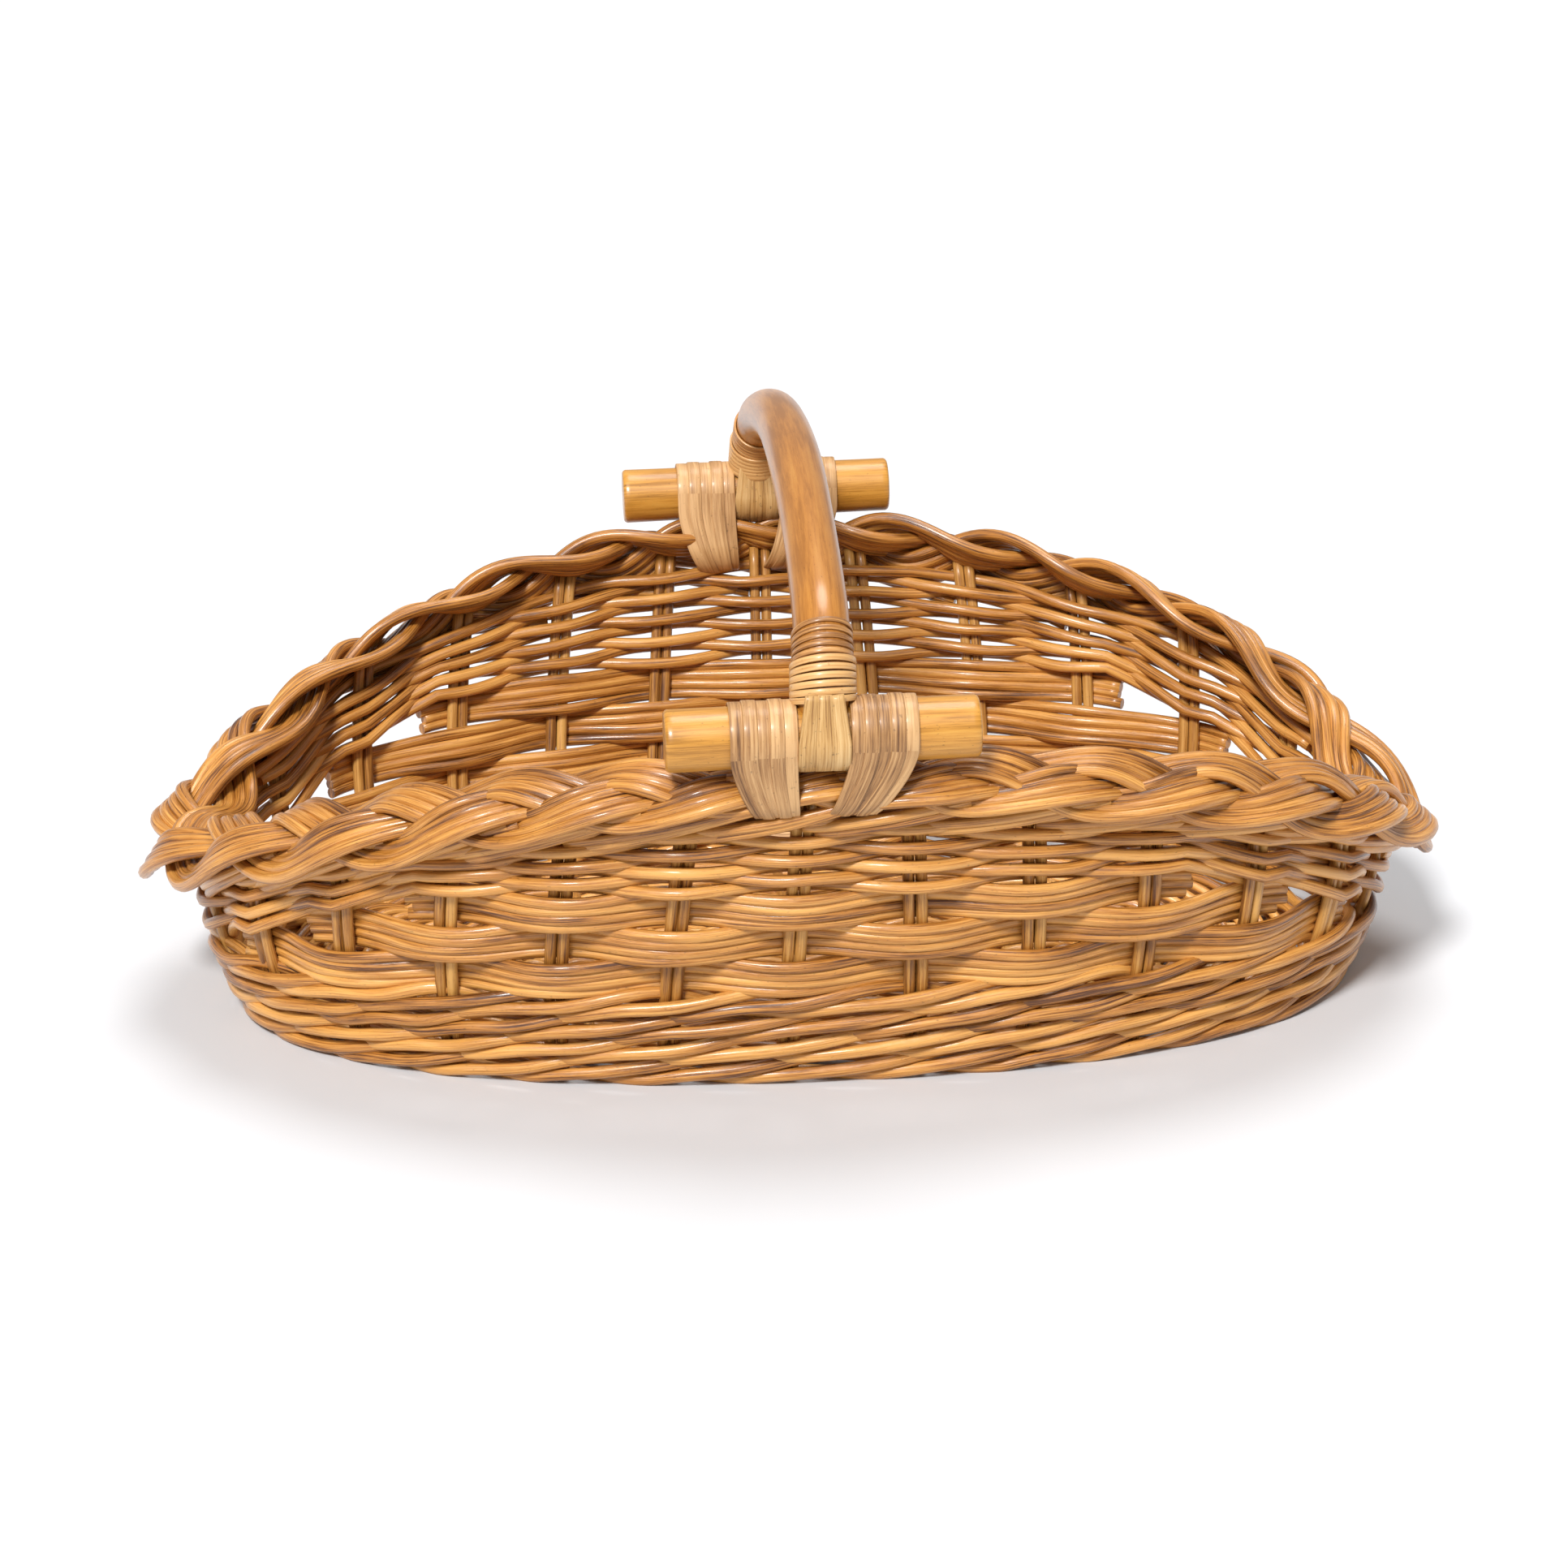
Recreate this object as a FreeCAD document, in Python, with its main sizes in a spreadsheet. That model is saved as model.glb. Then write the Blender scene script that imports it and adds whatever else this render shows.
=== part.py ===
"""Oval rattan egg basket: walls woven on paired stakes, a plaited border, two crossbars and a fixed hoop handle.

Frame: +X along the basket's length, +Z up, origin on the floor under the middle of the base. Millimetres.
"""
import FreeCAD, Part

import math
import os

import Sketcher

DIMENSIONS = [
    # plan of the wall's centre line, at the base and at the rim
    ("base_half_length", 181.0), ("base_half_width", 88.0), ("top_half_length", 197.0),
    ("top_half_width", 127.5), ("oval_base", 2.3), ("oval_rim_left", 1.85), ("oval_rim_right", 2.1),
    # height of the border's centre: at the middle of the long sides, and at the two ends
    ("rim_mid_height", 114.5), ("rim_left_height", 57.0), ("rim_right_height", 49.0),
    ("rise_power_left", 1.45), ("rise_power_right", 1.0),
    # the border's flat oval section: offset from the wall, half sizes, and how steeply its face looks up
    ("border_out_side", 1.5), ("border_out_end", 5.5), ("border_half_side", 11.0), ("border_half_end", 15.5),
    ("border_half_thick", 5.5), ("border_turn_side", 50.0), ("border_turn_end", 72.0),
    ("border_clear_side", 11.6), ("border_clear_end", 8.6),
    # rods
    ("rod", 3.4), ("stake", 3.6), ("stake_pairs", 26), ("play", 0.15), ("phase_front", 0.24), ("phase_rear", 0.58),
    # courses
    ("wale_courses", 4), ("wale_top_side", 36.0), ("wale_top_end", 25.0),
    ("band_height", 12.7), ("band_rods", 4), ("rand_courses", 9), ("rand_turn_back", 5.3), ("rand_turn_step", 0.4),
    ("stake_top_gap", 8.4),
    # base
    ("base_skin", 3.2), ("base_stick", 4.6), ("base_long_stick", 3.0), ("base_edge_gap", 6.2),
    ("base_long_pitch", 12.0), ("base_cross_pitch", 24.0), ("base_stick_gap", 2.0),
    # handle and crossbars
    ("bar_diameter", 19.0), ("bar_length", 95.0), ("bar_shift", -2.5), ("bar_out", 132.5),
    ("bar_height", 132.0), ("bar_tilt", 1.2), ("bar_chamfer", 0.8), ("hoop_diameter", 17.0), ("hoop_rise", 52.0),
    ("hoop_corner", 36.0), ("hoop_lean", -2.2), ("hoop_start", 6.0), ("tongue_width", 16.0), ("tongue_thick", 2.2),
    # bindings round the hoop's legs, and lashings round the crossbars and the border
    ("peel", 1.2), ("binding_start", 12.9), ("binding_pitch", 3.5), ("binding_width", 3.2), ("binding_turns", 5),
    ("lashing_turns", 3), ("lashing_width", 18.0), ("lashing_offset", 18.2), ("lashing_gap", 0.7),
]
MIDDLE_STAKE = 6        # stake pair the block bands are centred on, counted from the -X end
BAND_REACH = (5, 4, 3)  # stakes each block band reaches on either side of it, lowest band first
END_COURSES = 6         # single-rod courses that run right round the ends, where the border dips,
TOP_COURSES = 2         # of which this many lie directly under the border
CLEARANCE = 0.3         # gap between neighbouring pieces that only touch in the real basket
STEPS_PER_STAKE = 4     # points of a woven line from one stake pair to the next

doc = FreeCAD.newDocument("egg_basket")
sheet = doc.addObject("Spreadsheet::Sheet", "sizes")
for row, (alias, value) in enumerate(DIMENSIONS, start=1):
    sheet.set(f"A{row}", alias)
    sheet.set(f"B{row}", str(value))
    sheet.setAlias(f"B{row}", alias)
doc.recompute()

parts = []


def size(alias):
    """The value of one driving dimension."""
    return float(sheet.get(alias))


def bind(thing, **expressions):
    """Tie properties of a document object to cells of the sheet."""
    for name, expression in expressions.items():
        thing.setExpression(name.replace("__", "."), expression)


def keep(thing, label):
    """Register a document object as one sub-part."""
    thing.Label = label
    parts.append(thing)
    return thing


def keep_shape(shape, label):
    """Register a computed shape as one sub-part."""
    feature = doc.addObject("Part::Feature", label)
    feature.Shape = shape
    return keep(feature, label)


# ---------------------------------------------------------------- the oval wall

def lerp(low, high, share):
    return low + (high - low) * share


def signed_power(value, power):
    return math.copysign(abs(value) ** power, value)


def end_blend(angle, left, right):
    """A value that changes smoothly from the -X end of the basket to the +X end."""
    return lerp(left, right, 0.5 * (1 + math.cos(angle)))


def oval(angle, half_length, half_width, share=0.0):
    """A point of the plan outline; share is 0 for the base's squarer oval and 1 for the rim's."""
    rim = end_blend(angle, size("oval_rim_left"), size("oval_rim_right"))
    exponent = 2.0 / lerp(size("oval_base"), rim, share)
    return (half_length * signed_power(math.cos(angle), exponent),
            half_width * signed_power(math.sin(angle), exponent))


def stake_angles():
    """Oval angles of evenly spaced points along the wall, STEPS_PER_STAKE per stake, from the -X end round."""
    fine = 7200
    half_length = 0.5 * (size("base_half_length") + size("top_half_length"))
    half_width = 0.5 * (size("base_half_width") + size("top_half_width"))
    points = [oval(math.pi + 2 * math.pi * i / fine, half_length, half_width, 0.5) for i in range(fine + 1)]
    along = [0.0]
    for a, b in zip(points, points[1:]):
        along.append(along[-1] + math.dist(a, b))
    count = int(size("stake_pairs")) * STEPS_PER_STAKE
    angles, i = [], 0
    for k in range(count):
        turn = k / count
        phase = lerp(size("phase_rear"), size("phase_front"), 0.5 * (1 + math.sin(2 * math.pi * turn)))
        target = along[-1] * ((turn + phase / size("stake_pairs")) % 1.0)
        if k and target < along[i]:
            i = 0
        while along[i + 1] < target:
            i += 1
        share = (target - along[i]) / (along[i + 1] - along[i])
        angles.append(math.pi + 2 * math.pi * (i + share) / fine)
    return angles


ANGLES = stake_angles()
N_POINTS = len(ANGLES)
N_STAKES = int(size("stake_pairs"))


def side_share(angle):
    """0 at the basket's two ends, 1 at the middle of its long sides."""
    return abs(math.sin(angle)) ** end_blend(angle, size("rise_power_left"), size("rise_power_right"))


def rim_height(angle):
    end = end_blend(angle, size("rim_left_height"), size("rim_right_height"))
    return lerp(end, size("rim_mid_height"), side_share(angle))


def wall_point(angle, height, out=0.0):
    """A point of the wall's centre line at a height, moved out along the oval's horizontal normal."""
    share = min(max(height / rim_height(angle), 0.0), 1.0)
    half_length = lerp(size("base_half_length"), size("top_half_length"), 1 - (1 - share) ** 2.2)
    half_width = lerp(size("base_half_width"), size("top_half_width"), share ** 0.9)
    x, y = oval(angle, half_length, half_width, share)
    step = 0.002
    x1, y1 = oval(angle - step, half_length, half_width, share)
    x2, y2 = oval(angle + step, half_length, half_width, share)
    run = math.hypot(x2 - x1, y2 - y1)
    return FreeCAD.Vector(x + out * (y2 - y1) / run, y - out * (x2 - x1) / run, height)


def wale_top(angle):
    return lerp(size("wale_top_end"), size("wale_top_side"), side_share(angle))


def stakes_from_middle(index):
    """How many stake spacings a woven point lies from the middle stake of its long side."""
    half = N_STAKES / 2
    away = abs((index / STEPS_PER_STAKE) % half - MIDDLE_STAKE)
    return min(away, half - away)


def rand_floor(index):
    """Height where the single-rod courses begin: over the block bands at the sides, on the wale at the ends."""
    angle = ANGLES[index % N_POINTS]
    reach = stakes_from_middle(index)
    steps = [min(max((limit + 1.0 - reach) / 0.75, 0.0), 1.0) for limit in BAND_REACH]
    return wale_top(angle) + size("band_height") * sum(steps) + size("play")


def border_out(angle):
    return lerp(size("border_out_end"), size("border_out_side"), side_share(angle))


def rand_ceiling(index):
    angle = ANGLES[index % N_POINTS]
    return rim_height(angle) - lerp(size("border_clear_end"), size("border_clear_side"), side_share(angle))


# ---------------------------------------------------------------- solids from edge lines

def edge_through(points, closed):
    curve = Part.BSplineCurve()
    curve.interpolate(points, PeriodicFlag=closed)
    return curve.toShape()


def solid_between(lines, closed):
    """A solid whose section's corners follow the given lines; each pair of neighbours spans one ruled face."""
    edges = [edge_through(line, closed) for line in lines]
    faces = [Part.makeRuledSurface(a, b) for a, b in zip(edges, edges[1:] + edges[:1])]
    if not closed:
        for end in (0, -1):
            a, b, c, d = [line[end] for line in lines]
            faces.append(Part.makeRuledSurface(Part.makeLine(a, b), Part.makeLine(d, c)))
    shell = Part.makeShell(faces)
    shell.sewShape()
    solid = Part.makeSolid(shell)
    if solid.Volume < 0:
        solid.reverse()
    return solid


def section_lines(indexes, low, high, middle, thick):
    """Corner lines of a flat section: low and high give the heights, middle the offset from the wall's centre."""
    corners = ((low, -0.5), (low, 0.5), (high, 0.5), (high, -0.5))
    return [[wall_point(ANGLES[i % N_POINTS], level(i), middle(i) + side * thick) for i in indexes]
            for level, side in corners]


def weave_offset(index, start):
    """Offset of a rod that passes outside one stake pair and inside the next."""
    swing = 0.5 * (size("rod") + size("stake")) + size("play")
    return swing * math.cos(math.pi * (index / STEPS_PER_STAKE + start))


# ---------------------------------------------------------------- weave

def make_wale():
    """Courses of three-rod wale: each is drawn as the rods outside the stakes and the rod inside them."""
    courses = int(size("wale_courses"))
    gap = 0.5 * size("stake") + size("play")
    thick = size("rod")
    for course in range(courses):
        def low(i, course=course):
            return wale_top(ANGLES[i % N_POINTS]) * course / courses + (CLEARANCE if course else 0.0)

        def high(i, course=course):
            return wale_top(ANGLES[i % N_POINTS]) * (course + 1) / courses

        rings = []
        for side in (1, -1):
            middle = side * (gap + 0.5 * thick)
            rings.append(solid_between(
                section_lines(range(N_POINTS), low, high, lambda i, m=middle: m, thick), True))
        keep_shape(Part.makeCompound(rings), f"wale_course_{course + 1}")


def make_bands():
    """Block bands: groups of four rods that pass together over one stake pair and under the next."""
    rods = int(size("band_rods"))
    rod_height = size("band_height") / rods
    middle = MIDDLE_STAKE * STEPS_PER_STAKE
    for side, middle_index in (("front", middle), ("rear", middle + N_POINTS // 2)):
        for band, reach in enumerate(BAND_REACH):
            span = int((reach + 0.3) * STEPS_PER_STAKE)
            indexes = range(middle_index - span, middle_index + span + 1)
            solids = []
            for rod in range(rods):
                level = band * size("band_height") + rod * rod_height

                def low(i, level=level):
                    return wale_top(ANGLES[i % N_POINTS]) + level + size("play")

                def high(i, level=level):
                    return wale_top(ANGLES[i % N_POINTS]) + level + rod_height

                lines = section_lines(indexes, low, high, lambda i, b=band: weave_offset(i, b), size("rod"))
                solids.append(solid_between(lines, False))
            keep_shape(Part.makeCompound(solids), f"block_band_{side}_{band + 1}")


def rand_fit(index):
    """How many single-rod courses fit between the floor and the border: fewer round the two ends."""
    taper = min(max((stakes_from_middle(index) - 5.0) / 1.5, 0.0), 1.0)
    return lerp(size("rand_courses"), END_COURSES, taper)


def rand_runs(course):
    """Point indexes a course covers: right round, or a front and a rear run that turn back before the ends."""
    last_partial = int(size("rand_courses")) - TOP_COURSES - 1
    if course < END_COURSES - TOP_COURSES or course > last_partial:
        return [range(N_POINTS)]
    middle = MIDDLE_STAKE * STEPS_PER_STAKE
    reach = size("rand_turn_back") + size("rand_turn_step") * (last_partial - course)
    span = int(reach * STEPS_PER_STAKE)
    return [range(start - span, start + span + 1) for start in (middle, middle + N_POINTS // 2)]


def rand_level(index, course, edge):
    """Height of a course's lower (edge 0) or upper (edge 1) side; the top courses hang from the border."""
    floor, ceiling = rand_floor(index), rand_ceiling(index)
    pitch = (ceiling - floor) / rand_fit(index)
    courses = int(size("rand_courses"))
    if course >= courses - TOP_COURSES:
        return ceiling - (courses - course - edge) * pitch
    return floor + (course + edge) * pitch


def make_rand():
    """Courses of single rods in and out of the stakes."""
    for course in range(int(size("rand_courses"))):
        def low(i, course=course):
            return rand_level(i, course, 0) + size("play")

        def high(i, course=course):
            return rand_level(i, course, 1)

        runs = rand_runs(course)

        def middle(i, course=course):
            return weave_offset(i, course + len(BAND_REACH))

        solids = [solid_between(section_lines(run, low, high, middle, size("rod")), len(runs) == 1) for run in runs]
        keep_shape(Part.makeCompound(solids), f"rand_course_{course + 1}")


def make_stakes():
    """Pairs of upright rods, leaning out with the wall from the base's edge to the underside of the border."""
    groups = {"stakes_front": [], "stakes_rear": [], "stakes_left": [], "stakes_right": []}
    radius = 0.5 * size("stake")
    for pair in range(N_STAKES):
        index = pair * STEPS_PER_STAKE
        angle = ANGLES[index]
        top = rim_height(angle) - size("stake_top_gap")
        heights = [lerp(CLEARANCE, top, share) for share in (0.0, 0.5, 1.0)]
        reach = stakes_from_middle(index)
        end = "stakes_left" if math.cos(angle) < 0 else "stakes_right"
        side = "stakes_front" if math.sin(angle) < 0 else "stakes_rear"
        name = side if reach <= max(BAND_REACH) else end
        tangent = (wall_point(angle + 0.01, heights[1]) - wall_point(angle - 0.01, heights[1])).normalize()
        for shift in (-1, 1):
            move = tangent * (shift * (radius + 0.5 * size("play")))
            points = [wall_point(angle, height) + move for height in heights]
            path = Part.Wire([Part.Arc(*points).toShape()])
            start = path.Edges[0].tangentAt(path.Edges[0].FirstParameter)
            circle = Part.Wire([Part.makeCircle(radius, points[0], start)])
            groups[name].append(path.makePipeShell([circle], True, True))
    for name, solids in groups.items():
        keep_shape(Part.makeCompound(solids), name)


def make_border():
    """The plait along the rim, as the closed flat roll that its strands fill; its face looks up and outward."""
    sides = 12
    lines = []
    for k in range(sides):
        turn = 2 * math.pi * (k + 0.5) / sides
        line = []
        for angle in ANGLES:
            side = side_share(angle)
            tilt = math.radians(lerp(size("border_turn_end"), size("border_turn_side"), side))
            across = lerp(size("border_half_end"), size("border_half_side"), side) * math.cos(turn)
            raised = size("border_half_thick") * math.sin(turn)
            out = across * math.sin(tilt) + raised * math.cos(tilt)
            rise = raised * math.sin(tilt) - across * math.cos(tilt)
            centre = wall_point(angle, rim_height(angle), border_out(angle) + out)
            line.append(centre + FreeCAD.Vector(0, 0, rise))
        lines.append(line)
    keep_shape(solid_between(lines, True), "border_plait")


# ---------------------------------------------------------------- base

def cylinder(label, start, direction, **expressions):
    """A cylinder whose radius and height follow the sheet."""
    thing = doc.addObject("Part::Cylinder", label)
    thing.Placement = FreeCAD.Placement(start, FreeCAD.Rotation(FreeCAD.Vector(0, 0, 1), direction))
    bind(thing, **expressions)
    return thing


def group(label, things):
    compound = doc.addObject("Part::Compound", label)
    compound.Links = things
    return compound


def cut(label, whole, tool):
    thing = doc.addObject("Part::Cut", label)
    thing.Base, thing.Tool = whole, tool
    return thing


def base_plate(label, low):
    """One woven layer of the base, as the oval plate that its rods fill."""
    half_length = size("base_half_length") - size("base_edge_gap")
    half_width = size("base_half_width") - size("base_edge_gap")
    outline = doc.addObject("Part::Feature", label + "_outline")
    points = [FreeCAD.Vector(*oval(angle, half_length, half_width), low) for angle in ANGLES]
    outline.Shape = Part.Face(Part.Wire([edge_through(points, True)]))
    plate = doc.addObject("Part::Extrusion", label)
    plate.Base = outline
    plate.DirMode = "Custom"
    plate.Dir = FreeCAD.Vector(0, 0, 1)
    bind(plate, LengthFwd="sizes.base_skin")
    keep(plate, label)


def base_stick(label, offset, across, diameter):
    """A straight stick at an offset from the middle, as long as the room inside the base's oval."""
    half_length = "(sizes.base_half_length - sizes.base_edge_gap)"
    half_width = "(sizes.base_half_width - sizes.base_edge_gap)"
    along, other = (half_width, half_length) if across else (half_length, half_width)
    reach = f"({along} * (1 - abs({offset} / {other}) ^ sizes.oval_base) ^ (1 / sizes.oval_base)"
    reach += " - sizes.base_stick_gap)"
    shift, back, middle = f"{offset}", f"-{reach}", "sizes.base_skin + 0.5 * sizes.base_stick + sizes.play"
    direction = FreeCAD.Vector(0, 1, 0) if across else FreeCAD.Vector(1, 0, 0)
    start_x, start_y = (shift, back) if across else (back, shift)
    return cylinder(label, FreeCAD.Vector(), direction, Radius=f"0.5 * ({diameter})", Height=f"2 * {reach}",
                    Placement__Base__x=start_x, Placement__Base__y=start_y, Placement__Base__z=middle)


def make_base():
    """Pierced short sticks with the long sticks through them, between an upper and a lower layer of weave."""
    base_plate("base_weave_lower", 0.0)
    base_plate("base_weave_upper", size("base_skin") + size("base_stick") + 2 * size("play"))
    long_sticks, holes = [], []
    for k in range(-2, 3):
        offset = f"({k} * sizes.base_long_pitch)"
        long_sticks.append(base_stick(f"long_stick_{k + 3}", offset, False, "sizes.base_long_stick"))
        holes.append(base_stick(f"long_hole_{k + 3}", offset, False, "sizes.base_long_stick + 2 * sizes.play"))
    pierced = group("long_holes", holes)
    cross_sticks = []
    for k in range(-5, 6):
        whole = base_stick(f"cross_stick_{k + 6}", f"({k} * sizes.base_cross_pitch)", True, "sizes.base_stick")
        cross_sticks.append(cut(f"pierced_stick_{k + 6}", whole, pierced))
    keep(group("base_long_sticks", long_sticks), "base_long_sticks")
    keep(group("base_cross_sticks", cross_sticks), "base_cross_sticks")


# ---------------------------------------------------------------- crossbars and handle

def origin_plane(body, role):
    return next(f for f in body.Origin.OriginFeatures if f.Role == role)


def make_crossbar(label, side):
    """A cut length of rattan pole: a padded circle with its end edges broken."""
    body = doc.addObject("PartDesign::Body", label)
    sketch = body.newObject("Sketcher::SketchObject", label + "_section")
    sketch.AttachmentSupport = [(origin_plane(body, "YZ_Plane"), "")]
    sketch.MapMode = "FlatFace"
    circle = sketch.addGeometry(Part.Circle(FreeCAD.Vector(0, 0, 0), FreeCAD.Vector(0, 0, 1), 5.0), False)
    sketch.addConstraint(Sketcher.Constraint("Coincident", circle, 3, -1, 1))
    sketch.addConstraint(Sketcher.Constraint("Diameter", circle, size("bar_diameter")))
    sketch.setExpression("Constraints[1]", "sizes.bar_diameter")
    pad = body.newObject("PartDesign::Pad", label + "_pad")
    pad.Profile = sketch
    pad.Midplane = True
    bind(pad, Length="sizes.bar_length")
    doc.recompute()
    chamfer = body.newObject("PartDesign::Chamfer", label + "_ends")
    rims = [f"Edge{k + 1}" for k, e in enumerate(pad.Shape.Edges) if isinstance(e.Curve, Part.Circle)]
    chamfer.Base = (pad, rims)
    bind(chamfer, Size="sizes.bar_chamfer")
    body.Placement = FreeCAD.Placement(
        FreeCAD.Vector(size("bar_shift"), side * size("bar_out"), size("bar_height")),
        FreeCAD.Rotation(FreeCAD.Vector(0, 1, 0), -size("bar_tilt")))
    bind(body, Placement__Base__x="sizes.bar_shift", Placement__Base__y=f"{side} * sizes.bar_out",
         Placement__Base__z="sizes.bar_height")
    return keep(body, label)


def bar_middle():
    """The point midway between the two crossbars, where the hoop's plane stands."""
    return FreeCAD.Vector(size("bar_shift"), 0, size("bar_height"))


def hoop_path():
    """Three tangent arcs over the basket, from bar to bar: tight at the shoulders, wide over the top."""
    span, rise, corner = size("bar_out"), size("hoop_rise"), size("hoop_corner")
    inset = span - corner
    wide = (inset ** 2 + rise ** 2 - corner ** 2) / (2 * (rise - corner))
    bar = bar_middle()
    crown_centre = FreeCAD.Vector(0, 0, rise - wide)
    meet = math.atan2(inset, wide - rise)  # angle from vertical where a shoulder meets the wide arc

    def shoulder(side, angle):
        return bar + FreeCAD.Vector(0, side * (inset + corner * math.cos(angle)), corner * math.sin(angle))

    def crown(angle):
        return bar + crown_centre + FreeCAD.Vector(0, wide * math.sin(angle), wide * math.cos(angle))

    start = math.asin(size("hoop_start") / corner)
    end = math.pi / 2 - meet
    edges = [
        Part.Arc(shoulder(-1, start), shoulder(-1, 0.5 * (start + end)), crown(-meet)).toShape(),
        Part.Arc(crown(-meet), crown(0), crown(meet)).toShape(),
        Part.Arc(crown(meet), shoulder(1, 0.5 * (start + end)), shoulder(1, start)).toShape(),
    ]
    return Part.Wire(edges)


def make_handle():
    """The hoop pole; each end is thinned to a tongue that loops under its crossbar and back up the leg."""
    path = hoop_path()
    first = path.Edges[0]
    foot = first.valueAt(first.FirstParameter)
    circle = Part.Wire([Part.makeCircle(0.5 * size("hoop_diameter"), foot, first.tangentAt(first.FirstParameter))])
    hoop = path.makePipeShell([circle], True, True)
    lean = FreeCAD.Placement(FreeCAD.Vector(0, 0, 0), FreeCAD.Rotation(FreeCAD.Vector(0, 1, 0), -size("hoop_lean")),
                             bar_middle())
    hoop.Placement = lean
    solid = hoop
    inner = 0.5 * size("bar_diameter") + CLEARANCE
    width = size("tongue_width")
    for side in (-1, 1):
        start = bar_middle() + FreeCAD.Vector(-0.5 * width, side * size("bar_out"), 0)
        along = FreeCAD.Vector(1, 0, 0)
        tongue = Part.makeCylinder(inner + size("tongue_thick"), width, start, along)
        bar_room = Part.makeCylinder(inner, 3 * width, start - along * width, along)
        solid = solid.fuse(tongue).cut(bar_room)
    return keep_shape(solid.removeSplitter(), "handle_hoop")


def make_leg_bindings():
    """Flat peel wound round each leg above its tongue: turns one above the other."""
    lean = FreeCAD.Rotation(FreeCAD.Vector(0, 1, 0), -size("hoop_lean"))
    corner = size("hoop_corner")
    inner = f"0.5 * sizes.hoop_diameter + {CLEARANCE}"
    for label, side in (("leg_binding_front", -1), ("leg_binding_rear", 1)):
        turns = []
        for turn in range(int(size("binding_turns"))):
            height = size("binding_start") + size("binding_pitch") * turn
            angle = math.asin(height / corner)
            centre = FreeCAD.Vector(0, side * (size("bar_out") - corner + corner * math.cos(angle)), height)
            start = bar_middle() + lean.multVec(centre)
            axis = lean.multVec(FreeCAD.Vector(0, -side * math.sin(angle), math.cos(angle)))
            name = f"{label}_turn_{turn + 1}"
            width = "sizes.binding_width"
            outer = cylinder(name + "_outside", start, axis, Radius=inner + " + sizes.peel", Height=width)
            bore = cylinder(name + "_inside", start, axis, Radius=inner, Height=width)
            turns.append(cut(name, outer, bore))
        keep(group(label, turns), label)


def make_lashings():
    """Flat peel loops that hold each crossbar down on the border, two to a bar, turn beside turn."""
    turns = int(size("lashing_turns"))
    for bar, side in (("front", -1), ("rear", 1)):
        for end, shift in (("left", -1), ("right", 1)):
            loops = []
            width = size("lashing_width") / turns
            for turn in range(turns):
                x = size("bar_shift") + shift * size("lashing_offset") + (turn - 0.5 * (turns - 1)) * width
                loops.append(lashing_loop(x, side, width - 0.2))
            keep_shape(Part.makeCompound(loops), f"lashing_{bar}_{end}")


def lashing_loop(x, side, width):
    """One turn of peel: over the bar, straight down past the border on both sides, and under it."""
    bar_radius = 0.5 * size("bar_diameter") + size("lashing_gap")
    low_radius = size("border_half_side") + size("lashing_gap")
    theta = angle_at(x, side)
    border = wall_point(theta, rim_height(theta), border_out(theta))
    rise = (x - size("bar_shift")) * math.tan(math.radians(size("bar_tilt")))
    top = FreeCAD.Vector(x, side * size("bar_out"), size("bar_height") + rise)
    low = FreeCAD.Vector(x, border.y, border.z)

    def outline(grow):
        return capsule(top, low, bar_radius + grow, low_radius + grow)

    outer = Part.Face(outline(size("peel")))
    ring = outer.cut(Part.Face(outline(0.0)))
    ring.translate(FreeCAD.Vector(-0.5 * width, 0, 0))
    return ring.extrude(FreeCAD.Vector(width, 0, 0))


def angle_at(x, side):
    """Oval angle of the rim's centre line at a station along the basket."""
    low, high = 0.0, math.pi
    for _ in range(60):
        mid = 0.5 * (low + high)
        if wall_point(mid, rim_height(mid), border_out(mid)).x > x:
            low = mid
        else:
            high = mid
    return side * 0.5 * (low + high)


def capsule(top, low, top_radius, low_radius):
    """Closed outline round two circles in the plane across the basket, with their outer tangents."""
    gap = top - low
    length = gap.Length
    lean = math.atan2(gap.y, gap.z)
    tilt = math.asin((top_radius - low_radius) / length)

    def at(centre, radius, angle):
        return centre + FreeCAD.Vector(0, radius * math.sin(angle + lean), radius * math.cos(angle + lean))

    quarter = math.pi / 2 + tilt
    a, b = at(top, top_radius, -quarter), at(top, top_radius, quarter)
    c, d = at(low, low_radius, quarter), at(low, low_radius, -quarter)
    return Part.Wire([
        Part.Arc(a, at(top, top_radius, 0), b).toShape(), Part.makeLine(b, c),
        Part.Arc(c, at(low, low_radius, math.pi), d).toShape(), Part.makeLine(d, a)])


for builder in (make_base, make_stakes, make_wale, make_bands, make_rand, make_border):
    builder()
make_crossbar("crossbar_front", -1)
make_crossbar("crossbar_rear", 1)
make_handle()
make_leg_bindings()
make_lashings()

doc.recompute()
for thing in doc.Objects:
    if {"Invalid", "Error"} & set(thing.State):
        raise RuntimeError(f"{thing.Label} failed: {thing.State}")
os.makedirs("parts", exist_ok=True)
for thing in parts:
    shape = thing.Shape
    if shape.isNull() or not shape.isValid() or not shape.Solids:
        raise RuntimeError(f"{thing.Label} has no valid shape")
    shape.exportStep(f"parts/{thing.Label}.step")
    print(f"{thing.Label}: {len(shape.Solids)} solids, {shape.Volume:.0f} mm3")
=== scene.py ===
"""Oval rattan egg basket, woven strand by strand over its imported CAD.

Lengths are in millimetres until a mesh is built.
"""
import math

import bpy
import numpy as np
from mathutils import Matrix, Vector


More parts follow.
